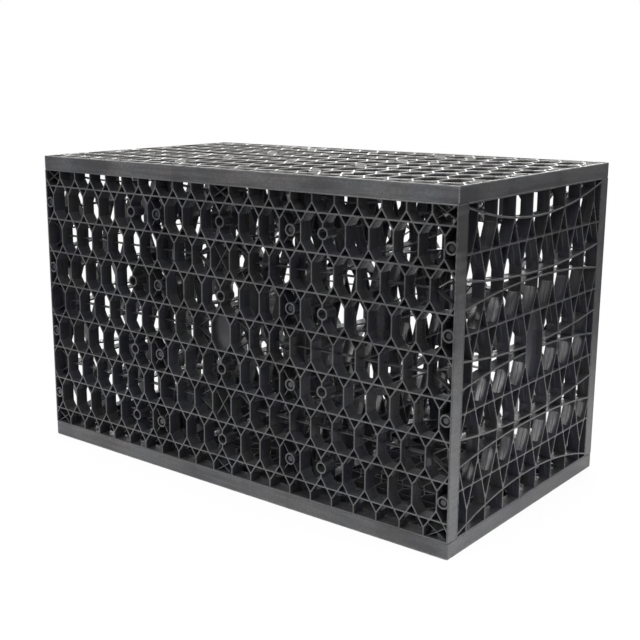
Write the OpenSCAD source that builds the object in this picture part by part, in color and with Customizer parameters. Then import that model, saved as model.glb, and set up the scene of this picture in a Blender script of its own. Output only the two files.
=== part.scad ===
// Pond reservoir block: an open crate of honeycomb plates that holds water under a pond or a lawn.
// Four equal large plates are its floor, its lid and its two long walls. Four equal small plates
// stand across between them, one at each end and two inside, and plug into rings of the large ones.
// The origin is at the middle of the underside. +X runs along the block and +Z is up.

/* [Large plates] */
// Length of a large plate, and of the block
plate_length = 715; // [560:5:900]
// Width of a large plate, and depth of the block
plate_width = 400; // [340:5:480]
// Thickness of a large plate, and depth of its ribs
plate_thickness = 20; // [16:1:28]
// Thickness of the ribs of a large plate
large_rib = 1.9; // [1.2:0.1:3]
// Wall round the edge of a large plate
large_rim = 2.4; // [2:0.1:4]
// Length of the upright bars between the cells of a large plate
large_bar = 25; // [16:0.5:30]

/* [Small plates] */
// Thickness of a small plate
small_thickness = 17; // [16.5:0.5:20]
// Thickness of the honeycomb ribs of a small plate
small_rib = 1.8; // [1.2:0.1:3]
// Thickness of the bowed ribs of a small plate
bow_rib = 2.4; // [1.5:0.1:4]
// Wall round the edge of a small plate
small_rim = 2.2; // [1.8:0.1:4]
// Length of the upright bars between the cells of a small plate
small_bar = 33.4; // [26:0.2:42]
// Distance from the top edge to the middle of the first row of bars
small_margin = 12.5; // [8:0.5:14]
// Rise of the bowed ribs that start near the corners
corner_bow = 27.2; // [16:0.2:32]
// Distance from the edge to the ends of those bowed ribs
corner_foot = 5; // [3:0.5:8]
// Rise of each bowed rib of the inner pairs
pair_bow = 13.2; // [8:0.2:18]
// Gap between the two bowed ribs of a pair where they come closest
pair_gap = 7.5; // [5:0.5:12]

/* [Rings and pegs] */
// Outer diameter of a ring
ring_d = 16; // [14.5:0.25:16]
// Bore of a ring
ring_bore_d = 11.6; // [10.5:0.1:12.5]
// Play between a peg and its ring, on the diameter
peg_play = 0.4; // [0.2:0.1:0.8]
// Diameter of the slim tip of a peg
peg_tip_d = 9; // [6:0.25:9.5]
// How far the shoulder of a peg lies below the outer face
peg_shoulder = 5; // [4:0.5:10]
// How far the tip of a peg lies below the outer face
peg_setback = 1.5; // [0.5:0.25:2.5]
// Width of the bevel round the tip of a peg
peg_bevel = 1; // [0.4:0.1:1.5]

/* [Braces and webs] */
// Thickness of the thin braces inside the cells
brace = 1.4; // [0.8:0.1:2]
// How far all braces stand back from the inner face
brace_foot = 2; // [1:0.5:4]
// How far the crossed braces stand back from the outer face
cross_setback = 5; // [3:0.5:9]
// How far the level braces stand back from the outer face
level_setback = 10; // [6:0.5:13]
// Thickness of the web that closes the middle cell
web = 2; // [1.2:0.1:3]
// How far that web stands back from the outer face
web_setback = 7; // [4:0.5:11]

/* [Hidden] */
$fn = 48;
// Segments of the bowed ribs
BOW_FN = 720;
// Cells across a large plate, and half rows up its width
LARGE_COLUMNS = 21;
LARGE_ROWS = 8;
// Cells across a small plate, and its rows of bars
SMALL_COLUMNS = 8;
SMALL_ROWS = 5;
// Columns of a large plate that hold the pegs of the inner plates
INNER_COLUMNS = [7, 14];
// Columns of a large plate with a spare ring
SPARE_COLUMNS = [5.5, 10.5, 15.5];

small_width = plate_width - 2 * plate_thickness;
block_height = plate_width + 2 * plate_thickness;
large_pitch = plate_length / LARGE_COLUMNS;
large_row = plate_width / LARGE_ROWS;
small_pitch = small_width / SMALL_COLUMNS;
small_row = (plate_width - 2 * small_margin) / (SMALL_ROWS - 1);
peg_root_d = ring_bore_d - peg_play;
// Share of a rib that a brace reaches into at its ends
ROOT = 0.4;
// Points of an outline that lie closer than this are one point
SAME = 0.01;

// A row of a plate: distance of its middle from the edge, and whether its bars stand at half columns
large_rows = [for (i = [0:LARGE_ROWS]) [i * large_row, i % 2 == 1]];
small_rows = [for (i = [0:SMALL_ROWS - 1]) [small_margin + i * small_row, i % 2 == 0]];
ring_heights = [for (r = large_rows) if (r[1]) r[0]];

// Turns a direction a quarter to the left and gives it length 1
function left_of(d) = [-d[1], d[0]] / norm(d);

// Moves every side of an outline that runs anticlockwise inwards by gap
function inset(points, gap) = [for (i = [0:len(points) - 1])
    let (
        before = points[(i + len(points) - 1) % len(points)],
        after = points[(i + 1) % len(points)],
        n1 = left_of(points[i] - before),
        n2 = left_of(after - points[i]))
    points[i] + gap * (n1 + n2) / (1 + n1 * n2)];

// Keeps an outline within a plate, edge away from its sides
function trim(points, size, edge) = [for (p = points)
    [min(max(p[0], edge), size[0] - edge), min(max(p[1], edge), size[1] - edge)]];

// Drops the points that fall on the one before them
function distinct(points) = [for (i = [0:len(points) - 1])
    if (norm(points[i] - points[(i + len(points) - 1) % len(points)]) > SAME) points[i]];

// Outline of the hole that an outline leaves between ribs and inside the rim of a plate
function hole(points, size, rib, rim) =
    distinct(trim(inset(distinct(trim(points, size, 0)), rib / 2), size, rim));

// Outline of the cell round c: flat above and below, bars at its sides, slanted ribs between
function cell(c, pitch, row, bar) = [
    [c[0] + pitch / 4, c[1] - row / 2], [c[0] + pitch / 2, c[1] - bar / 2],
    [c[0] + pitch / 2, c[1] + bar / 2], [c[0] + pitch / 4, c[1] + row / 2],
    [c[0] - pitch / 4, c[1] + row / 2], [c[0] - pitch / 2, c[1] + bar / 2],
    [c[0] - pitch / 2, c[1] - bar / 2], [c[0] - pitch / 4, c[1] - row / 2]];

// Outline of the small triangle at an end of the bar in the middle of c: side is 1 above, -1 below
function gusset(c, pitch, row, bar, side) = [
    [c[0], c[1] + side * bar / 2],
    [c[0] + side * pitch / 4, c[1] + side * row / 2],
    [c[0] - side * pitch / 4, c[1] + side * row / 2]];

// All the openings of a plate: size is length and width, rows as above
module openings(size, rows, columns, pitch, row, bar, rib, rim) {
    for (r = rows, k = [0:2 * columns]) {
        // A row has a bar at every second half column, and a cell at the others
        is_bar = (k % 2 == 1) == r[1];
        c = [k * pitch / 2, r[0]];
        if (is_bar) {
            for (side = [-1, 1])
                if (c[1] + side * row / 2 > rim && c[1] + side * row / 2 < size[1] - rim)
                    polygon(hole(gusset(c, pitch, row, bar, side), size, rib, rim));
        } else {
            polygon(hole(cell(c, pitch, row, bar), size, rib, rim));
        }
    }
}

// A thin brace from a to b that stands setback below the outer face of a plate
module brace_between(a, b, setback) {
    d = b - a;
    translate([a[0], a[1], brace_foot])
        rotate([0, 0, atan2(d[1], d[0])])
            translate([0, -brace / 2, 0])
                cube([norm(d), brace, plate_thickness - setback - brace_foot]);
}

// Middles of the slanted ribs of a large cell, seen from its centre
function slant(sx, sy) = [sx * large_pitch * 3 / 8, sy * (large_row + large_bar) / 4];

// Crossed braces of the cell round c, from its slanted ribs in to a ring of diameter d
module cross_braces(c, d) {
    for (sx = [-1, 1], sy = [-1, 1]) {
        far = slant(sx, sy);
        near = far * (d / 2 - large_rib * ROOT) / norm(far);
        brace_between(c + near, c + far, cross_setback);
    }
}

// Crossed braces of the half cell at an edge: side is 1 where it opens upwards, -1 downwards
module half_cross_braces(c, side) {
    for (sx = [-1, 1]) {
        corner = c + [-sx * (large_pitch / 2 - large_rib), side * large_rim * ROOT];
        brace_between(corner, c + slant(sx, side), cross_setback);
    }
}

// Level brace from bar to bar of the cell round c
module level_brace(c) {
    reach = [large_pitch / 2 - large_rib * (0.5 - ROOT), 0];
    brace_between(c - reach, c + reach, level_setback);
}

// Two braces that meet at the bar on one side of the cell round c and part towards the other:
// side is 1 where they part to the right, -1 to the left
module forked_braces(c, side) {
    meet = c - [side * (large_pitch / 2 - large_rib * (0.5 - ROOT)), 0];
    for (sy = [-1, 1])
        brace_between(meet, c + slant(side, sy), level_setback);
}

// Where the rings of a large plate stand
ring_columns = concat([small_thickness / 2, plate_length - small_thickness / 2],
    [for (k = concat(INNER_COLUMNS, SPARE_COLUMNS)) k * large_pitch]);
middle = [plate_length, plate_width] / 2;

// The lattice of a large plate as a flat shape
module large_lattice() {
    size = [plate_length, plate_width];
    difference() {
        union() {
            difference() {
                square(size);
                openings(size, large_rows, LARGE_COLUMNS, large_pitch, large_row, large_bar,
                    large_rib, large_rim);
            }
            for (x = ring_columns, y = ring_heights)
                translate([x, y])
                    circle(d = ring_d);
        }
        for (x = ring_columns, y = ring_heights)
            translate([x, y])
                circle(d = ring_bore_d);
    }
}

// The braces of a large plate, in its full rows and in the half rows along its edges
module large_braces() {
    for (x = INNER_COLUMNS * large_pitch, y = ring_heights)
        cross_braces([x, y], ring_d);
    for (i = [2:2:LARGE_ROWS - 2]) {
        y = i * large_row;
        for (k = [0:LARGE_COLUMNS - 1]) {
            c = [(k + 0.5) * large_pitch, y];
            from_middle = k - (LARGE_COLUMNS - 1) / 2;
            if (k == 0 || from_middle == 1)
                forked_braces(c, -1);
            else if (k == LARGE_COLUMNS - 1 || from_middle == -1)
                forked_braces(c, 1);
            else if (from_middle != 0)
                level_brace(c);
            else if (y != middle[1])
                cross_braces(c, 0);
        }
    }
    for (x = [large_pitch / 2, middle[0], plate_length - large_pitch / 2]) {
        half_cross_braces([x, 0], 1);
        half_cross_braces([x, plate_width], -1);
    }
}

// A large plate lying with its inner face down: x along its length, y across, outer face on top
module large_plate() {
    linear_extrude(plate_thickness) large_lattice();
    large_braces();
    translate([0, 0, plate_thickness - web_setback - web])
        linear_extrude(web)
            polygon(cell(middle, large_pitch, large_row, large_bar));
}

// A rib bowed over the whole width of a small plate: its ends lie at height y, and it rises to
// the middle by rise, or sinks where rise is negative
module bow(y, rise) {
    half = small_width / 2;
    s = abs(rise);
    radius = (half * half + s * s) / (2 * s);
    intersection() {
        square([small_width, plate_width]);
        translate([half, y + rise - sign(rise) * radius])
            difference() {
                circle(r = radius + bow_rib / 2, $fn = BOW_FN);
                circle(r = radius - bow_rib / 2, $fn = BOW_FN);
            }
    }
}

// The lattice of a small plate as a flat shape
module small_lattice() {
    size = [small_width, plate_width];
    centre_cell = cell(size / 2, small_pitch, small_row, small_bar);
    difference() {
        square(size);
        openings(size, small_rows, SMALL_COLUMNS, small_pitch, small_row, small_bar,
            small_rib, small_rim);
    }
    difference() {
        union() {
            bow(corner_foot, corner_bow);
            bow(plate_width - corner_foot, -corner_bow);
            for (i = [1:SMALL_ROWS - 2]) {
                y = small_rows[i][0];
                bow(y - pair_gap / 2 - pair_bow, pair_bow);
                bow(y + pair_gap / 2 + pair_bow, -pair_bow);
            }
        }
        polygon(inset(centre_cell, small_rib / 2));
    }
}

// A stepped peg that starts on the face at z = 0 and points up
module peg() {
    bevel_start = plate_thickness - peg_setback - peg_bevel;
    rotate_extrude()
        polygon([[0, 0], [peg_root_d / 2, 0], [peg_root_d / 2, plate_thickness - peg_shoulder],
            [peg_tip_d / 2, plate_thickness - peg_shoulder], [peg_tip_d / 2, bevel_start],
            [peg_tip_d / 2 - peg_bevel, bevel_start + peg_bevel], [0, bevel_start + peg_bevel]]);
}

// A small plate lying on its inner face: x across the block, y up, outer face on top
module small_plate() {
    linear_extrude(small_thickness) small_lattice();
    translate([0, 0, small_thickness - web_setback - web])
        linear_extrude(web)
            polygon(cell([small_width, plate_width] / 2, small_pitch, small_row, small_bar));
    for (y = ring_heights) {
        translate([0, y, small_thickness / 2]) rotate([0, -90, 0]) peg();
        translate([small_width, y, small_thickness / 2]) rotate([0, 90, 0]) peg();
        // The rings of the floor and the lid lie at the same distances across the block
        translate([y - plate_thickness, 0, small_thickness / 2]) rotate([90, 0, 0]) peg();
        translate([y - plate_thickness, plate_width, small_thickness / 2]) rotate([-90, 0, 0]) peg();
    }
}

// Stands a small plate across the block with its middle at x, its outer face to the right
module standing_small_plate(x) {
    color([0.16, 0.16, 0.17])
        translate([x - small_thickness / 2, -small_width / 2, plate_thickness])
            rotate([90, 0, 90])
                small_plate();
}

module bottom_plate() {
    color([0.2, 0.2, 0.21])
        translate([-plate_length / 2, plate_width / 2, plate_thickness])
            rotate([180, 0, 0])
                large_plate();
}

module top_plate() {
    color([0.24, 0.24, 0.25])
        translate([-plate_length / 2, -plate_width / 2, block_height - plate_thickness])
            large_plate();
}

module front_plate() {
    color([0.2, 0.2, 0.22])
        translate([-plate_length / 2, -plate_width / 2 + plate_thickness, plate_thickness])
            rotate([90, 0, 0])
                large_plate();
}

module back_plate() {
    color([0.2, 0.2, 0.22])
        translate([plate_length / 2, plate_width / 2 - plate_thickness, plate_thickness])
            rotate([90, 0, 180])
                large_plate();
}

end_x = (plate_length - small_thickness) / 2;
inner_x = [for (k = INNER_COLUMNS) k * large_pitch - plate_length / 2];

module right_end_plate() {
    standing_small_plate(end_x);
}

module right_inner_plate() {
    standing_small_plate(inner_x[1]);
}

module left_inner_plate() {
    rotate([0, 0, 180]) standing_small_plate(-inner_x[0]);
}

module left_end_plate() {
    rotate([0, 0, 180]) standing_small_plate(end_x);
}

bottom_plate();
top_plate();
front_plate();
back_plate();
left_end_plate();
left_inner_plate();
right_inner_plate();
right_end_plate();
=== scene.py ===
# Pond reservoir block: a crate of charcoal plastic honeycomb plates that is buried under a pond and
# holds its water. Four equal large plates are the floor, the lid and the two long walls. Four equal
# small plates stand across between them and hold them together with moulded pegs.
import math

import bpy
from mathutils import Matrix, Vector


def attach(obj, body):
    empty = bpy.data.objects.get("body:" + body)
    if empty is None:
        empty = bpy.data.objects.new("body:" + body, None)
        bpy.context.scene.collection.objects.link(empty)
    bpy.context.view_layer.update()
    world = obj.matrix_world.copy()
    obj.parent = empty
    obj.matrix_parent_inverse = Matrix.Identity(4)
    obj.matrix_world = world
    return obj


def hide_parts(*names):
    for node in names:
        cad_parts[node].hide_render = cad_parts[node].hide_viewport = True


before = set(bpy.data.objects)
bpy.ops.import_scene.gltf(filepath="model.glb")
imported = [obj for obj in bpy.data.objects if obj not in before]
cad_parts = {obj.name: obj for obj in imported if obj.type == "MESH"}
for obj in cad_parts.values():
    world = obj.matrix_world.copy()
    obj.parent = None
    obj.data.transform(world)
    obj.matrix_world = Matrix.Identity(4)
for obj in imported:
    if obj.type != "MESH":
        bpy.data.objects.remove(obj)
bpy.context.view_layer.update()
MM = 0.001

# The large plates: floor, lid and two long walls. Each is one moulding of recycled polypropylene,
# 715 x 400 x 20 mm, a honeycomb of thin ribs with a smooth rim. Rings on it take the pegs of the
# small plates, and thin braces stiffen some of its cells.
PLATE_LENGTH = 715 * MM
PLATE_WIDTH = 400 * MM
PLATE_THICKNESS = 20 * MM
LARGE_COLUMNS = 21
LARGE_ROWS = 8
LARGE_PITCH = PLATE_LENGTH / LARGE_COLUMNS
LARGE_ROW = PLATE_WIDTH / LARGE_ROWS
LARGE_BAR = 25 * MM
LARGE_RIB = 1.9 * MM
LARGE_RIM = 2.4 * MM
LARGE_FILLET = 0.8 * MM
LARGE_DRAFT = 0.6 * MM
PLATE_EDGE = 0.8 * MM
PLATE_CORNER = 1.6 * MM
# The round on the mouths of all ribs, how far a cutting shape stands out past a face, and the angle
# between two faces from which an edge is sharp.
BEVEL = 0.42 * MM
FLARE = 0.3 * MM
CREASE = math.radians(12)


def left_of(direction):
    """The direction a quarter turn to the left, with length 1."""
    return Vector((-direction.y, direction.x)).normalized()


def inset(outline, gap):
    """An anticlockwise outline with each of its sides moved inwards by gap."""
    moved = []
    for i, here in enumerate(outline):
        n1 = left_of(here - outline[i - 1])
        n2 = left_of(outline[(i + 1) % len(outline)] - here)
        moved.append(here + (n1 + n2) * gap / (1 + n1.dot(n2)))
    return moved


def filleted(outline, radius, steps=3):
    """An outline with every corner rounded by the same number of points."""
    if not radius:
        return outline
    rounded = []
    for i, here in enumerate(outline):
        back = (outline[i - 1] - here).normalized()
        ahead = (outline[(i + 1) % len(outline)] - here).normalized()
        half = back.angle(ahead) / 2
        centre = here + (back + ahead).normalized() * radius / math.sin(half)
        start = here + back * radius / math.tan(half) - centre
        turn = math.copysign(math.pi - 2 * half, back.cross(ahead) * -1)
        for k in range(steps):
            rounded.append(centre + Matrix.Rotation(turn * k / (steps - 1), 2) @ start)
    return rounded


def prisms(name, outlines, levels, fillet=0):
    """An object of closed prisms, one for each outline. Each level is how far the prism's side lies
    inside the outline there, and its height."""
    points, faces = [], []
    for outline in outlines:
        start = len(points)
        for gap, height in levels:
            loop = filleted(inset(outline, gap), fillet)
            points += [(p.x, p.y, height) for p in loop]
        n = len(loop)
        for k in range(len(levels) - 1):
            low, high = start + k * n, start + (k + 1) * n
            faces += [(low + i, low + (i + 1) % n, high + (i + 1) % n, high + i) for i in range(n)]
        faces.append([start + i for i in reversed(range(n))])
        faces.append([len(points) - n + i for i in range(n)])
    mesh = bpy.data.meshes.new(name)
    mesh.from_pydata(points, [], faces)
    return bpy.data.objects.new(name, mesh)


def cell(pitch, row, bar):
    """Outline of a honeycomb cell round the origin, along the middles of its ribs."""
    quarter = [(pitch / 4, -row / 2), (pitch / 2, -bar / 2), (pitch / 2, bar / 2), (pitch / 4, row / 2)]
    return [Vector(p) for p in quarter] + [-Vector(p) for p in quarter]


def unit_of_openings(pitch, row, bar):
    """Outlines of that cell and of the triangles at the two ends of the bar on its right."""
    above = [Vector((pitch / 2, bar / 2)), Vector((pitch * 3 / 4, row / 2)), Vector((pitch / 4, row / 2))]
    below = [Vector((pitch - p.x, -p.y)) for p in above]
    return [cell(pitch, row, bar), above, below]


def rectangle(width, height):
    return [Vector(p) for p in ((0, 0), (width, 0), (width, height), (0, height))]


def circle(diameter, points=32):
    turn = 2 * math.pi / points
    return [Vector((math.cos(i * turn), math.sin(i * turn))) * diameter / 2 for i in range(points)]


def solid_levels(thickness, edge=BEVEL, steps=1):
    """Levels of a solid with rounded edges above and below, in one or more steps."""
    turns = [i * math.pi / 2 / steps for i in range(steps + 1)]
    foot = [(edge * (1 - math.sin(t)), edge * (1 - math.cos(t))) for t in turns]
    return foot + [(gap, thickness - z) for gap, z in reversed(foot)]


def opening_levels(gap, thickness, draft, ridge=0):
    """Levels of an opening that leaves ribs with rounded mouths, thicker by draft at mid-depth, where
    the mould parts. With a ridge they swell in a curve up to it, without one they taper straight."""
    middle = thickness / 2
    half = [(gap - BEVEL - FLARE, -FLARE), (gap - BEVEL, 0)]
    half += [(gap - BEVEL * (1 - math.sin(t)), BEVEL * (1 - math.cos(t))) for t in (math.pi / 4, math.pi / 2)]
    if ridge:
        half += [(gap + draft * (1 - t * t), middle - t * (middle - BEVEL)) for t in (0.7, 0.4)]
        half.append((gap + draft, middle - ridge))
    return half + [(gap + draft + ridge / 2, middle)] + [(g, thickness - z) for g, z in reversed(half)]


class Wire:
    """An output of a node, so that maths on it is written as Python expressions."""

    def __init__(self, tree, socket):
        self.tree, self.socket = tree, socket

    def __getitem__(self, output):
        return Wire(self.tree, self.socket.node.outputs[output])

    def maths(self, operation, *values):
        return add(self.tree, "ShaderNodeMath", {"operation": operation}, dict(enumerate(values)))

    def __add__(self, other): return self.maths("ADD", self, other)
    def __radd__(self, other): return self.maths("ADD", other, self)
    def __sub__(self, other): return self.maths("SUBTRACT", self, other)
    def __rsub__(self, other): return self.maths("SUBTRACT", other, self)
    def __mul__(self, other): return self.maths("MULTIPLY", self, other)
    def __rmul__(self, other): return self.maths("MULTIPLY", other, self)
    def __truediv__(self, other): return self.maths("DIVIDE", self, other)
    def __mod__(self, other): return self.maths("MODULO", self, other)
    def __gt__(self, other): return self.maths("GREATER_THAN", self, other)


def add(tree, kind, settings=None, sockets=None):
    """Adds a node: its settings first, then the values or links of its sockets by name or number."""
    node = tree.nodes.new(kind)
    for name, value in (settings or {}).items():
        setattr(node, name, value)
    for name, value in (sockets or {}).items():
        for one in value if isinstance(value, list) else [value]:
            if isinstance(one, Wire):
                tree.links.new(one.socket, node.inputs[name])
            else:
                node.inputs[name].default_value = one
    return Wire(tree, next(s for s in node.outputs if s.enabled) if node.outputs else None)


def joined(tree, operation, *parts):
    """Union or intersection of closed meshes."""
    return add(tree, "GeometryNodeMeshBoolean", {"operation": operation, "solver": "MANIFOLD"}, {
        "Mesh 2": list(parts)})


def cut(tree, solid, tool):
    """A closed mesh less another."""
    return add(tree, "GeometryNodeMeshBoolean", {"operation": "DIFFERENCE", "solver": "MANIFOLD"}, {
        "Mesh 1": solid, "Mesh 2": tool})


def on_points(tree, points, thing, **sockets):
    """A shape on each of some points, as one mesh."""
    spread = add(tree, "GeometryNodeInstanceOnPoints", {}, {"Points": points, "Instance": thing, **sockets})
    return add(tree, "GeometryNodeRealizeInstances", {}, {"Geometry": spread})


SOCKETS = {int: "NodeSocketInt", float: "NodeSocketFloat", bpy.types.Object: "NodeSocketObject",
           bpy.types.Material: "NodeSocketMaterial"}


def lattice_tree(name, inputs, finish):
    """A tree that cuts one unit of openings over and over out of a slab, and then lets finish(tree,
    plate, given, shape) add to the plate. Returns the tree and what sets each of its named inputs."""
    tree = bpy.data.node_groups.new(name, "GeometryNodeTree")
    tree.is_modifier = True
    tree.interface.new_socket("Geometry", in_out="INPUT", socket_type="NodeSocketGeometry")
    tree.interface.new_socket("Geometry", in_out="OUTPUT", socket_type="NodeSocketGeometry")
    keys = {}
    for label, value in inputs.items():
        kind = next(SOCKETS[k] for k in SOCKETS if isinstance(value, k))
        keys[label] = tree.interface.new_socket(label, in_out="INPUT", socket_type=kind).identifier
    given = add(tree, "NodeGroupInput")

    def shape(label):
        return add(tree, "GeometryNodeObjectInfo", {}, {"Object": given[label]})["Geometry"]

    index = add(tree, "GeometryNodeInputIndex")
    across = given["Columns"] + 1
    row = add(tree, "ShaderNodeMath", {"operation": "FLOOR"}, {0: index / across})
    shift = (row + given["First shifted row"]) % 2 * 0.5
    place = add(tree, "ShaderNodeCombineXYZ", {}, {
        0: (index - row * across - shift) * given["Pitch"],
        1: row * given["Row height"] + given["Margin"]})
    points = add(tree, "GeometryNodePoints", {}, {
        "Count": across * (given["Rows"] + 1), "Position": place})
    openings = on_points(tree, points, shape("Unit of openings"))
    openings = joined(tree, "INTERSECT", openings, shape("Field inside the rim"))
    plate = finish(tree, cut(tree, shape("Slab"), openings), given, shape)
    smooth = add(tree, "GeometryNodeSetShadeSmooth", {"domain": "FACE"}, {
        "Geometry": plate, "Shade Smooth": True})
    smooth = add(tree, "GeometryNodeSetShadeSmooth", {"domain": "EDGE"}, {
        "Geometry": smooth, "Selection": add(tree, "GeometryNodeInputMeshEdgeAngle") > CREASE,
        "Shade Smooth": False})
    done = add(tree, "GeometryNodeRealizeInstances", {}, {"Geometry": smooth})
    done = add(tree, "GeometryNodeSetMaterial", {}, {"Geometry": done, "Material": given["Material"]})
    add(tree, "NodeGroupOutput", {}, {0: done})
    return tree, keys


def moulded(name, points, outward, tree, keys, inputs):
    """Runs a lattice tree on points, each with its outward direction where the tree asks for one, and
    returns the plain mesh that it makes."""
    mesh = bpy.data.meshes.new(name)
    mesh.from_pydata(points, [], [])
    if outward:
        mesh.attributes.new("outward", "FLOAT_VECTOR", "POINT").data.foreach_set(
            "vector", [c for v in outward for c in v])
    pattern = bpy.data.objects.new(name, mesh)
    bpy.context.scene.collection.objects.link(pattern)
    modifier = pattern.modifiers.new("Lattice", "NODES")
    modifier.node_group = tree
    for label, value in inputs.items():
        modifier[keys[label]] = value
    graph = bpy.context.evaluated_depsgraph_get()
    made = bpy.data.meshes.new_from_object(pattern.evaluated_get(graph))
    bpy.data.objects.remove(pattern)
    return made


# Rings and braces, and the web that closes the middle cell. Heights are above the plate's inner
# face: the braces stop short of its outer face, and those that lie level stop far below it.
RING_D = 16 * MM
BORE_D = 11.6 * MM
BRACE = 1.4 * MM
BRACE_EDGE = 0.2 * MM
BRACE_FOOT = 2 * MM
CROSS_TOP = PLATE_THICKNESS - 3 * MM
LEVEL_TOP = PLATE_THICKNESS - 10 * MM
WEB_TOP = PLATE_THICKNESS - 7 * MM
WEB = 2 * MM
SMALL_THICKNESS = 17 * MM
ring_rows = [LARGE_ROW * i for i in (1, 3, 5, 7)]
end_columns = [SMALL_THICKNESS / 2, PLATE_LENGTH - SMALL_THICKNESS / 2]
inner_columns = [LARGE_PITCH * k for k in (7, 14)]
spare_columns = [LARGE_PITCH * k for k in (5.5, 10.5, 15.5)]
large_centre = Vector((PLATE_LENGTH, PLATE_WIDTH)) / 2
rising, falling = {CROSS_TOP: [], LEVEL_TOP: []}, {CROSS_TOP: [], LEVEL_TOP: []}


def slant(side, up):
    """Middle of a slanted rib of a large cell, seen from the cell's centre."""
    return Vector((side * LARGE_PITCH * 3 / 8, up * (LARGE_ROW + LARGE_BAR) / 4))


def brace(a, b, top):
    """Notes a brace between two points: those that cross each other go into different lists."""
    side = left_of(b - a) * BRACE / 2
    group = rising if (b.x - a.x) * (b.y - a.y) > 0 else falling
    group[top].append([a - side, b - side, b + side, a + side])


# Four braces from each ring of the inner plates, which start inside the ring's wall.
for x in inner_columns:
    for y in ring_rows:
        for side in (-1, 1):
            for up in (-1, 1):
                c, far = Vector((x, y)), slant(side, up)
                brace(c + far.normalized() * (RING_D / 2 - 0.7 * MM), c + far, CROSS_TOP)
# One level brace in each cell of three rows, two that meet in some, and a cross in the middle column.
for i in (2, 4, 6):
    for k in range(LARGE_COLUMNS):
        c = Vector(((k + 0.5) * LARGE_PITCH, i * LARGE_ROW))
        from_middle = k - (LARGE_COLUMNS - 1) // 2
        wall = Vector((LARGE_PITCH / 2, 0))
        if k in (0, LARGE_COLUMNS - 1) or abs(from_middle) == 1:
            side = -1 if k == 0 or from_middle == 1 else 1
            for up in (-1, 1):
                brace(c - wall * side, c + slant(side, up), LEVEL_TOP)
        elif from_middle:
            brace(c - wall, c + wall, LEVEL_TOP)
        elif i != 4:
            for up in (-1, 1):
                brace(c + slant(-1, -up), c + slant(1, up), CROSS_TOP)
# Crosses in the half cells at the corners and at the middles of the long edges.
for x in (LARGE_PITCH / 2, large_centre.x, PLATE_LENGTH - LARGE_PITCH / 2):
    for y, up in ((0, 1), (PLATE_WIDTH, -1)):
        for side in (-1, 1):
            foot = Vector((x - side * (LARGE_PITCH / 2 - LARGE_RIB), y + up * LARGE_RIM * 0.4))
            brace(foot, Vector((x, y)) + slant(side, up), CROSS_TOP)

brace_sets = {}
for label, group in (("Rising", rising), ("Falling", falling)):
    for kind, top in (("crossed", CROSS_TOP), ("level", LEVEL_TOP)):
        if group[top]:
            brace_sets[f"{label} {kind} braces"] = prisms(f"{label}_{kind}", group[top], [
                (BRACE_EDGE, BRACE_FOOT), (0, BRACE_FOOT + BRACE_EDGE), (0, top - BRACE_EDGE), (BRACE_EDGE, top)])
large_shapes = {
    "Unit of openings": prisms(
        "large_unit", unit_of_openings(LARGE_PITCH, LARGE_ROW, LARGE_BAR),
        opening_levels(LARGE_RIB / 2, PLATE_THICKNESS, LARGE_DRAFT), LARGE_FILLET),
    "Field inside the rim": prisms(
        "large_field", [rectangle(PLATE_LENGTH, PLATE_WIDTH)],
        opening_levels(LARGE_RIM, PLATE_THICKNESS, LARGE_DRAFT)),
    "Slab": prisms(
        "large_slab", [rectangle(PLATE_LENGTH, PLATE_WIDTH)],
        solid_levels(PLATE_THICKNESS, PLATE_EDGE, 3), PLATE_CORNER),
    "Ring": prisms("ring", [circle(RING_D)], solid_levels(PLATE_THICKNESS)),
    "Bore": prisms("bore", [circle(BORE_D)], [
        (-BEVEL - FLARE, -FLARE), (0, BEVEL), (0, PLATE_THICKNESS - BEVEL),
        (-BEVEL - FLARE, PLATE_THICKNESS + FLARE)]),
    "Web": prisms(
        "large_web", [[large_centre + p for p in cell(LARGE_PITCH, LARGE_ROW, LARGE_BAR)]],
        [(LARGE_RIB / 4, WEB_TOP - WEB), (LARGE_RIB / 4, WEB_TOP)]),
    **brace_sets}


def large_finish(tree, plate, given, shape):
    """Adds the rings, web and braces of a large plate and bores the rings."""
    plate = joined(tree, "UNION", plate, on_points(tree, given["Geometry"], shape("Ring")))
    for label in ["Web", *brace_sets]:
        plate = joined(tree, "UNION", plate, shape(label))
    return cut(tree, plate, on_points(tree, given["Geometry"], shape("Bore")))


HALF_LENGTH = PLATE_LENGTH / 2
HALF_DEPTH = PLATE_WIDTH / 2
BLOCK_HEIGHT = PLATE_WIDTH + 2 * PLATE_THICKNESS
# Colours: painted shade on the up-facing faces inside, with a thin dust there too; light dust and a
# painted sheen on the lid; edges bright with wear and a painted highlight on the lid's corners; and what
# turns charcoal browner or bluer, and an outer face, scuffed and painted lighter, warmer or cooler.
UPWARD_SHADE = (0.027, 0.027, 0.029)
LID_DUST_AND_SHEEN = (0.19, 0.186, 0.174)
WORN_EDGE_AND_HIGHLIGHT = (0.3, 0.3, 0.3)
BROWNER, BLUER = (1.02, 1.01, 0.92), (0.97, 0.98, 1.11)
WARMER, COOLER = (1.05, 0.98, 0.97), (0.95, 1, 1.03)


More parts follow.
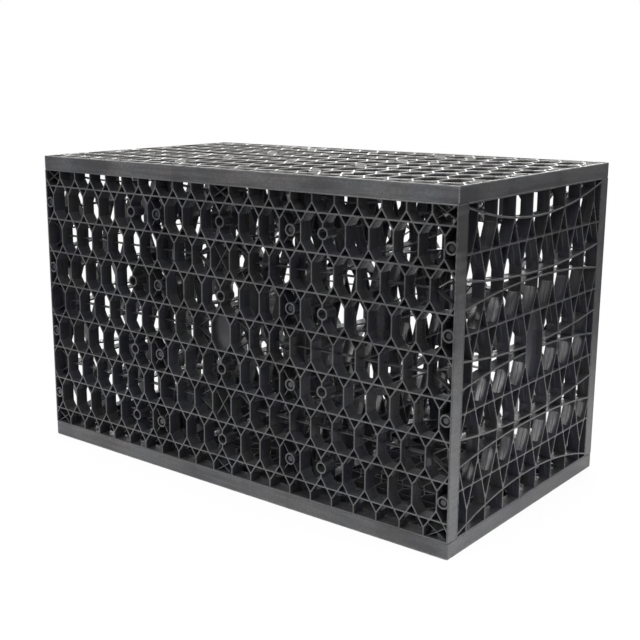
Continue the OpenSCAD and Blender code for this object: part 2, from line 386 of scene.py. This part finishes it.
def moulded_plastic(name, tone, wear_and_light_tone, sheen, marks, lid_dust_and_sheen):
    """Charcoal recycled polypropylene: mottled, with a fine grain, scuffed where it has chafed on its
    neighbours and painted lighter on its outer faces, partly wear and partly painted light; inside, where
    it faces up, it is matt like dust and painted darker, as painted shade. tone is the colour inside and
    the colour after it that of the outer faces, sheen is the roughness, marks stretches the tool marks
    along the ribs and the last is how much light dust and painted sheen its share of the lid gets."""
    material = bpy.data.materials.new(name)
    material.use_nodes = True
    tree = material.node_tree
    tree.nodes.clear()
    place = add(tree, "ShaderNodeTexCoord")["Object"]
    normal = add(tree, "ShaderNodeNewGeometry")["Normal"]

    def noise(scale, detail, stretch=(1, 1, 1), roughness=0.5):
        seen = add(tree, "ShaderNodeMapping", {}, {"Vector": place, "Scale": stretch})
        return add(tree, "ShaderNodeTexNoise", {}, {
            "Vector": seen, "Scale": scale, "Detail": detail, "Roughness": roughness})

    def ramp(value, low, high, top=1.0):
        return add(tree, "ShaderNodeMapRange", {"interpolation_type": "SMOOTHSTEP"}, {
            "Value": value, "From Min": low, "From Max": high, "To Min": 0.0, "To Max": top})

    def lesser(a, b):
        return a.maths("MINIMUM", a, b)

    def mixed(factor, a, b):
        a, b = (v if isinstance(v, Wire) else (*v, 1) for v in (a, b))
        return add(tree, "ShaderNodeMix", {"data_type": "RGBA"}, {0: factor, 6: a, 7: b})[2]

    def shaded(colour, hue):
        return [c * h for c, h in zip(colour, hue)]

    def scaled(colour, factor):
        return add(tree, "ShaderNodeVectorMath", {"operation": "SCALE"}, {
            0: colour, "Scale": factor})["Vector"]

    # Where a point lies: how far inside the block's ends, walls, floor and lid.
    axes = add(tree, "ShaderNodeSeparateXYZ", {}, {0: place})
    x, y, z = axes["X"], axes["Y"], axes["Z"]
    from_end = HALF_LENGTH - x.maths("ABSOLUTE", x)
    from_wall = HALF_DEPTH - y.maths("ABSOLUTE", y)
    from_lid = BLOCK_HEIGHT - z
    from_side, from_level = lesser(from_end, from_wall), lesser(z, from_lid)
    # The block's outer faces, painted lighter than the inside: partly wear, partly painted light.
    outside = 1 - ramp(lesser(from_side, from_level), 0.1 * MM, 0.9 * MM)
    # The lid's top band, which gets light dust and a painted sheen.
    lid = (1 - ramp(from_lid, 0.4 * MM, 2.6 * MM)) * ramp(from_side, 0.5 * MM, 1.5 * MM)
    end, wall, level = (1 - ramp(far, 0.4 * MM, 2 * MM) for far in (from_end, from_wall, from_level))
    # The lid's vertical corners get a painted highlight; the edges along the floor and the lid get wear.
    lid_corner_highlight = end * wall * (1 - ramp(from_lid, PLATE_THICKNESS - 1 * MM, PLATE_THICKNESS + 1 * MM))
    edges = lid_corner_highlight + wall * level + end * level
    # Up-facing faces inside, which are made matt like dust and painted darker, as painted shade.
    upward = ramp(add(tree, "ShaderNodeSeparateXYZ", {}, {0: normal})["Z"], 0.4, 0.95) * (1 - outside)

    # Unevenness of the plastic, from broad clouds to the grain: streaks stand upright, lines are the
    # tool marks and patches are where the recycled plastic is browner or bluer.
    mottle = noise(14, 4)
    streak = noise(38, 3, (0.25, 0.25, 5))
    scratch = noise(90, 2, (1, 1, 9), 0.7)
    grain = noise(1900, 2)
    lines = noise(330, 3, marks, 0.6)
    patches = ramp(noise(24, 3), 0.4, 0.6)
    speckle = ramp(noise(230, 4, (1, 1, 1), 0.75), 0.32, 0.68)

    plain = mixed(patches, shaded(tone, BROWNER), shaded(tone, BLUER))
    plain = scaled(plain, 0.7 + ramp(mottle, 0.3, 0.7, 0.38) + ramp(lines, 0.35, 0.65, 0.26))
    # The outer faces' colour: scuffed wear and painted light, against the darker inside.
    wear_and_light_colour = mixed(ramp(noise(16, 3), 0.35, 0.65), shaded(wear_and_light_tone, WARMER), shaded(wear_and_light_tone, COOLER))
    wear_and_light_colour = scaled(wear_and_light_colour, 0.74 + speckle * 0.52)
    wear_and_light_share = outside * (0.3 + ramp(streak * 0.5 + mottle * 0.5, 0.38, 0.62) * 0.65)
    # Painted shade on the up-facing inner faces; the roughness below also makes them matt like dust.
    dust_and_shade = upward * (0.4 + ramp(noise(55, 4), 0.35, 0.7, 0.5))
    colour = mixed(wear_and_light_share, plain, wear_and_light_colour)
    colour = mixed(outside * ramp(scratch, 0.6, 0.72, 0.5), colour, [c * 1.5 for c in wear_and_light_tone])
    colour = mixed(dust_and_shade, colour, UPWARD_SHADE)
    # Light dust and a painted sheen on the lid's top band and the upper edges of its ribs.
    colour = mixed(lid * lid_dust_and_sheen * (0.6 + ramp(mottle, 0.35, 0.65, 0.4)), colour, LID_DUST_AND_SHEEN)
    # Wear on the edges along floor and lid, and a painted highlight on the lid's vertical corners.
    colour = mixed(edges * ramp(scratch, 0.3, 0.6, 0.8), colour, WORN_EDGE_AND_HIGHLIGHT)
    height = grain * 0.35 + streak * 0.4 + lines * (1 - outside) * 2.0
    plastic = add(tree, "ShaderNodeBsdfPrincipled", {}, {
        "Base Color": colour, "IOR": 1.49,
        "Roughness": sheen + (mottle - 0.5) * 0.06 + wear_and_light_share * 0.16 + dust_and_shade * 0.45,
        "Normal": add(tree, "ShaderNodeBump", {}, {
            "Height": height, "Strength": 0.35, "Distance": 0.12 * MM})})
    add(tree, "ShaderNodeOutputMaterial", {}, {"Surface": plastic})
    return material


# The outer colour, some two and a half times the inner one, is wear and painted light.
charcoal = moulded_plastic(
    "charcoal_large_plates", tone=(0.031, 0.0315, 0.036), wear_and_light_tone=(0.080, 0.079, 0.081), sheen=0.25,
    marks=(0.12, 1, 0.12), lid_dust_and_sheen=1)
large_inputs = {
    "Columns": LARGE_COLUMNS, "Rows": LARGE_ROWS, "First shifted row": 1, "Pitch": LARGE_PITCH,
    "Row height": LARGE_ROW, "Margin": 0.0, **large_shapes, "Material": charcoal}
large_tree, large_keys = lattice_tree("large_plate", large_inputs, large_finish)
large_mesh = moulded(
    "large_plate", [(x, y, 0) for x in end_columns + inner_columns + spare_columns for y in ring_rows], None,
    large_tree, large_keys, large_inputs)


def plate(name, mesh, node, slot, place):
    """Puts a copy of a plate's mesh where its CAD node stands."""
    mesh = mesh.copy()
    mesh.transform(place)
    piece = bpy.data.objects.new(name, mesh)
    bpy.context.scene.collection.objects.link(piece)
    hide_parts(node)
    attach(piece, "root")


def at(x, y, z):
    return Matrix.Translation((x, y, z))


def turned(degrees, axis):
    return Matrix.Rotation(math.radians(degrees), 4, axis)


large_places = {
    "bottom": at(-HALF_LENGTH, HALF_DEPTH, PLATE_THICKNESS) @ turned(180, "X"),
    "top": at(-HALF_LENGTH, -HALF_DEPTH, BLOCK_HEIGHT - PLATE_THICKNESS),
    "front": at(-HALF_LENGTH, PLATE_THICKNESS - HALF_DEPTH, PLATE_THICKNESS) @ turned(90, "X"),
    "back": at(HALF_LENGTH, HALF_DEPTH - PLATE_THICKNESS, PLATE_THICKNESS) @ turned(180, "Z") @ turned(90, "X")}
for side, place in large_places.items():
    plate(f"{side}_lattice", large_mesh, f"{side}_plate", "large_plate_plastic", place)

# The small plates: one across each end and two inside, 360 x 400 x 17 mm, of the same plastic. Their
# honeycomb has taller cells, and thin bowed ribs run over it from side to side. Sixteen pegs moulded
# on the four edges of each are pushed into the rings of the large plates.
SMALL_WIDTH = PLATE_WIDTH - 2 * PLATE_THICKNESS
SMALL_COLUMNS = 8
SMALL_ROWS = 4
SMALL_MARGIN = 12.5 * MM
SMALL_PITCH = SMALL_WIDTH / SMALL_COLUMNS
SMALL_ROW = (PLATE_WIDTH - 2 * SMALL_MARGIN) / SMALL_ROWS
SMALL_BAR = 33.4 * MM
SMALL_RIB = 1.8 * MM
SMALL_RIM = 2.2 * MM
SMALL_FILLET = 2 * MM
SMALL_SWELL = 0.42 * MM
PARTING_RIDGE = 0.4 * MM
SMALL_WEB_TOP = SMALL_THICKNESS - 7 * MM
BOW_RIB = 2.4 * MM
CORNER_BOW = 27.2 * MM
CORNER_FOOT = 5 * MM
PAIR_BOW = 13.2 * MM
PAIR_GAP = 7.5 * MM
# A peg has a wide root that fills the ring and a slim tip, and starts a little inside the plate.
PEG_ROOT_D = BORE_D - 0.4 * MM
PEG_TIP_D = 9 * MM
PEG_ROOT = 15 * MM
PEG_LENGTH = 18.5 * MM
PEG_START = -1 * MM
PEG_CHAMFER = 1 * MM


def bowed(end, rise, steps=48):
    """Outline of a rib that bows over the whole width of a small plate: its ends are at height end,
    and it rises to the middle by rise, or sinks where rise is negative."""
    half = SMALL_WIDTH / 2
    radius = (half ** 2 + rise ** 2) / (2 * abs(rise))
    sense = math.copysign(1, rise)
    middle = Vector((half, end + rise - sense * radius))
    reach = math.asin((half - SMALL_RIM / 2) / radius)
    turns = [reach * (2 * i / steps - 1) for i in range(steps + 1)]
    inner, outer = ([middle + Vector((math.sin(t), math.cos(t) * sense)) * r for t in turns]
                    for r in (radius - BOW_RIB / 2, radius + BOW_RIB / 2))
    outline = inner + outer[::-1]
    return outline if sense > 0 else outline[::-1]


bows = [bowed(CORNER_FOOT, CORNER_BOW), bowed(PLATE_WIDTH - CORNER_FOOT, -CORNER_BOW)]
for i in range(1, SMALL_ROWS):
    y = SMALL_MARGIN + i * SMALL_ROW
    bows += [bowed(y - PAIR_GAP / 2 - PAIR_BOW, PAIR_BOW), bowed(y + PAIR_GAP / 2 + PAIR_BOW, -PAIR_BOW)]
middle_cell = [Vector((SMALL_WIDTH, PLATE_WIDTH)) / 2 + p for p in cell(SMALL_PITCH, SMALL_ROW, SMALL_BAR)]
peg_step = (PEG_ROOT_D - PEG_TIP_D) / 2
small_shapes = {
    "Unit of openings": prisms(
        "small_unit", unit_of_openings(SMALL_PITCH, SMALL_ROW, SMALL_BAR),
        opening_levels(SMALL_RIB / 2, SMALL_THICKNESS, SMALL_SWELL, PARTING_RIDGE), SMALL_FILLET),
    "Field inside the rim": prisms(
        "small_field", [rectangle(SMALL_WIDTH, PLATE_WIDTH)],
        opening_levels(SMALL_RIM, SMALL_THICKNESS, SMALL_SWELL, PARTING_RIDGE)),
    "Slab": prisms("small_slab", [rectangle(SMALL_WIDTH, PLATE_WIDTH)], solid_levels(SMALL_THICKNESS)),
    "Bows": prisms("bows", bows, solid_levels(SMALL_THICKNESS)),
    "Middle opening": prisms("middle", [middle_cell], [
        (SMALL_RIB / 3, -1 * MM), (SMALL_RIB / 3, SMALL_THICKNESS + 1 * MM)]),
    "Web": prisms("small_web", [middle_cell], [
        (SMALL_RIB / 4, SMALL_WEB_TOP - WEB), (SMALL_RIB / 4, SMALL_WEB_TOP)]),
    "Peg": prisms("peg", [circle(PEG_ROOT_D)], [
        (0, PEG_START), (0, PEG_ROOT), (peg_step, PEG_ROOT), (peg_step, PEG_LENGTH - PEG_CHAMFER),
        (peg_step + PEG_CHAMFER, PEG_LENGTH)])}


def small_finish(tree, plate, given, shape):
    """Adds the bowed ribs, the web of the middle cell and the pegs of a small plate."""
    plate = joined(tree, "UNION", plate, cut(tree, shape("Bows"), shape("Middle opening")))
    plate = joined(tree, "UNION", plate, shape("Web"))
    outward = add(tree, "GeometryNodeInputNamedAttribute", {"data_type": "FLOAT_VECTOR"}, {"Name": "outward"})
    turn = add(tree, "FunctionNodeAlignRotationToVector", {"axis": "Z"}, {"Vector": outward})
    return joined(tree, "UNION", plate, on_points(tree, given["Geometry"], shape("Peg"), Rotation=turn))


peg_points, peg_ways = [], []
for along in ring_rows:
    x, y = along - PLATE_THICKNESS, along
    for point, way in (((0, y), (-1, 0)), ((SMALL_WIDTH, y), (1, 0)), ((x, 0), (0, -1)), ((x, PLATE_WIDTH), (0, 1))):
        peg_points.append((*point, SMALL_THICKNESS / 2))
        peg_ways.append((*way, 0))
# Here too the outer colour is wear and painted light against the darker inside.
soot = moulded_plastic(
    "charcoal_small_plates", tone=(0.0285, 0.029, 0.0335), wear_and_light_tone=(0.070, 0.068, 0.070), sheen=0.2,
    marks=(1, 0.12, 0.12), lid_dust_and_sheen=0.15)
small_inputs = {
    "Columns": SMALL_COLUMNS, "Rows": SMALL_ROWS, "First shifted row": 0, "Pitch": SMALL_PITCH,
    "Row height": SMALL_ROW, "Margin": SMALL_MARGIN, **small_shapes, "Material": soot}
small_tree, small_keys = lattice_tree("small_plate", small_inputs, small_finish)
small_mesh = moulded("small_plate", peg_points, peg_ways, small_tree, small_keys, small_inputs)


def standing(x):
    """A small plate across the block with its middle at x and its outer face to the right."""
    return at(x - SMALL_THICKNESS / 2, -SMALL_WIDTH / 2, PLATE_THICKNESS) @ turned(90, "Z") @ turned(90, "X")


end_x = HALF_LENGTH - SMALL_THICKNESS / 2
inner_x = inner_columns[1] - HALF_LENGTH
small_places = {"right_end": standing(end_x), "right_inner": standing(inner_x),
                "left_inner": turned(180, "Z") @ standing(inner_x), "left_end": turned(180, "Z") @ standing(end_x)}
for side, place in small_places.items():
    plate(f"{side}_lattice", small_mesh, f"{side}_plate", "small_plate_plastic", place)

# The studio: a matt white floor just under the block, which keeps its soft shadow and turns pure
# white further away, and white surroundings that count a little less in light and in gloss.
FLOOR = 8.0
FLOOR_Z = -0.2 * MM
floor_mesh = bpy.data.meshes.new("floor")
floor_mesh.from_pydata([(FLOOR * x, FLOOR * y, FLOOR_Z) for x, y in ((-1, -1), (1, -1), (1, 1), (-1, 1))],
                       [], [(0, 1, 2, 3)])
floor = bpy.data.objects.new("floor", floor_mesh)
bpy.context.scene.collection.objects.link(floor)
paper = bpy.data.materials.new("white_floor")
paper.use_nodes = True
tree = paper.node_tree
tree.nodes.clear()
seen = add(tree, "ShaderNodeLightPath")["Is Camera Ray"]
spot = add(tree, "ShaderNodeTexCoord")["Object"]
away = add(tree, "ShaderNodeVectorMath", {"operation": "LENGTH"}, {0: spot})["Value"]


def fade(start, end, near, far):
    """A value that goes from near to far between two distances from the middle of the block."""
    return add(tree, "ShaderNodeMapRange", {"interpolation_type": "SMOOTHSTEP"}, {
        "Value": away, "From Min": start, "From Max": end, "To Min": near, "To Max": far})


bounce = fade(0.6, 1.2, 0.85, 0.1)
matt = add(tree, "ShaderNodeBsdfDiffuse", {}, {"Color": bounce.maths("MAXIMUM", bounce, seen * 0.9)})
bright = add(tree, "ShaderNodeEmission", {}, {"Color": (1, 1, 1, 1), "Strength": 1.0})
add(tree, "ShaderNodeOutputMaterial", {}, {
    "Surface": add(tree, "ShaderNodeMixShader", {}, {0: seen * fade(0.5, 1.1, 0.88, 1.0), 1: matt, 2: bright})})
floor_mesh.materials.append(paper)

world = bpy.data.worlds.new("studio")
bpy.context.scene.world = world
world.use_nodes = True
tree = world.node_tree
tree.nodes.clear()
rays = add(tree, "ShaderNodeLightPath")
add(tree, "ShaderNodeOutputWorld", {}, {"Surface": add(tree, "ShaderNodeBackground", {}, {
    "Color": (1, 1, 1, 1), "Strength": 0.8 + rays["Is Camera Ray"] * 0.2 - rays["Is Glossy Ray"] * 0.35})})


def softbox(name, place, aim, width, height, power):
    """A plain area lamp, with its sizes in metres and its power in watts."""
    lamp = bpy.data.lights.new(name, "AREA")
    lamp.shape = "RECTANGLE"
    lamp.size = width
    lamp.size_y = height
    lamp.energy = power
    made = bpy.data.objects.new(name, lamp)
    made.location = place
    made.rotation_euler = (Vector(aim) - Vector(place)).to_track_quat("-Z", "Y").to_euler()
    made.visible_camera = False
    bpy.context.scene.collection.objects.link(made)


# Six lamps: a broad one overhead, one in front and one on the left, one behind, a long one low behind
# that puts glints on the lid, and a small card beside the foot of the front corner.
softbox("overhead", (0.6, -0.2, 2.4), (0.1, 0, 0.2), 1.6, 1.6, 36)
softbox("front", (-0.66, -2.0, 0.88), (0.35, 0, 0.14), 0.7, 0.48, 12.5)
softbox("left", (-1.8, -1.5, 1.8), (-0.1, 0, 0.2), 1.0, 0.8, 18)
softbox("behind", (0.1, 2.8, 1.75), (0, 0, 0.44), 2.4, 1.0, 16)
softbox("skyline", (-2.3, 2.7, 0.72), (-0.1, 0, 0.44), 4.2, 0.55, 80)
softbox("card", (0.6, -0.13, 0.05), (0.36, -0.14, 0.03), 0.16, 0.08, 0.3)

# The camera stands off the right-hand front corner, a little above the lid. Its lens, place and
# directions are those of a pinhole camera fitted to the block's corners, in a square picture.
PICTURE = 640
SENSOR = 36
FOCAL = 1064.41
MIDDLE_X, MIDDLE_Y = 277.80, 306.36
EYE = (0.94565, -1.21604, 0.55988)
RIGHT = (0.76879, 0.6395, -0.00218)
FORWARD = (-0.62506, 0.7507, -0.2139)
camera = bpy.data.cameras.new("camera")
camera.sensor_width = SENSOR
camera.lens = SENSOR * FOCAL / PICTURE
camera.shift_x = (PICTURE / 2 - MIDDLE_X) / PICTURE
camera.shift_y = (MIDDLE_Y - PICTURE / 2) / PICTURE
camera.clip_start = 0.05
eye = bpy.data.objects.new("camera", camera)
forward = Vector(FORWARD).normalized()
up = Vector(RIGHT).normalized().cross(forward).normalized()
right = forward.cross(up)
eye.matrix_world = at(*EYE) @ Matrix((right, up, -forward)).transposed().to_4x4()
bpy.context.scene.collection.objects.link(eye)
bpy.context.scene.camera = eye
bpy.context.scene.view_settings.view_transform = "Standard"
